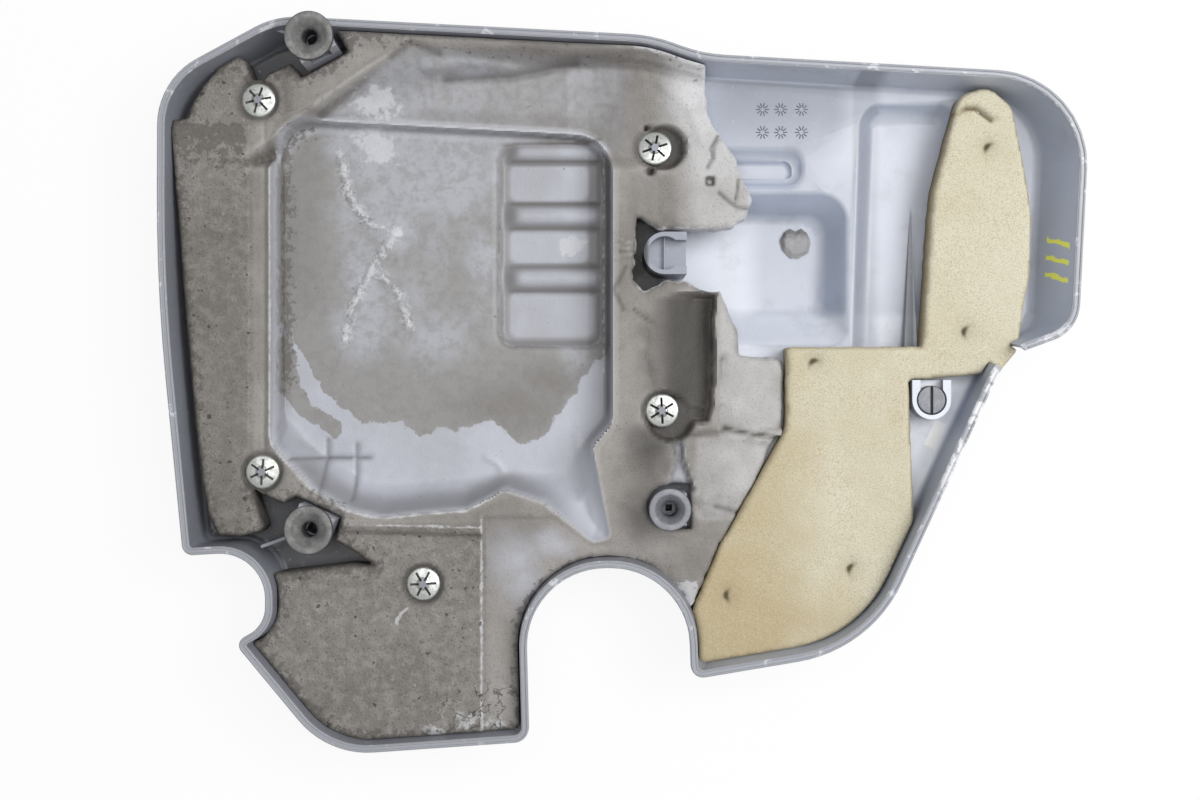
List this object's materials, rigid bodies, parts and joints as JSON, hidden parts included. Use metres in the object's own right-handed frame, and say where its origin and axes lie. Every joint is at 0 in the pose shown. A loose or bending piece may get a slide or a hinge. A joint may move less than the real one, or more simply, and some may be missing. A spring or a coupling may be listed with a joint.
{
  "type": "engine cover",
  "caption": "Moulded plastic engine cover lying on its outer face, with foam absorbers pushed onto studs inside and rubber ball sockets.",
  "frame": {"origin": "under the middle of the part's box, on the surface that it lies on", "axes": "+X along the cover's long side, +Y across it towards the straight edge, +Z out of the engine side"},
  "size_m": [0.6002, 0.4748, 0.08],
  "materials": {
    "shell_plastic": "grey moulded plastic with a satin sheen, scuffed along the rim",
    "grey_foam": "moulded polyurethane foam with a dusty skin, glazed and wrinkled in the recess",
    "yellow_foam": "cut open-cell foam, faded yellow-tan",
    "zinc_steel": "zinc-plated spring steel",
    "socket_rubber": "dusty dark grey rubber",
    "label_paper": "plain white sticker"
  },
  "bodies": {
    "root": {"cover_shell": "shell_plastic", "front_absorber": "grey_foam", "side_absorber": "yellow_foam", "push_nuts": "zinc_steel", "upper_socket": "socket_rubber", "lower_socket": "socket_rubber", "centre_socket": "socket_rubber", "slit_buffer": "socket_rubber", "foam_remnant": "grey_foam", "blank_label": "label_paper"}
  },
  "joints": []
}
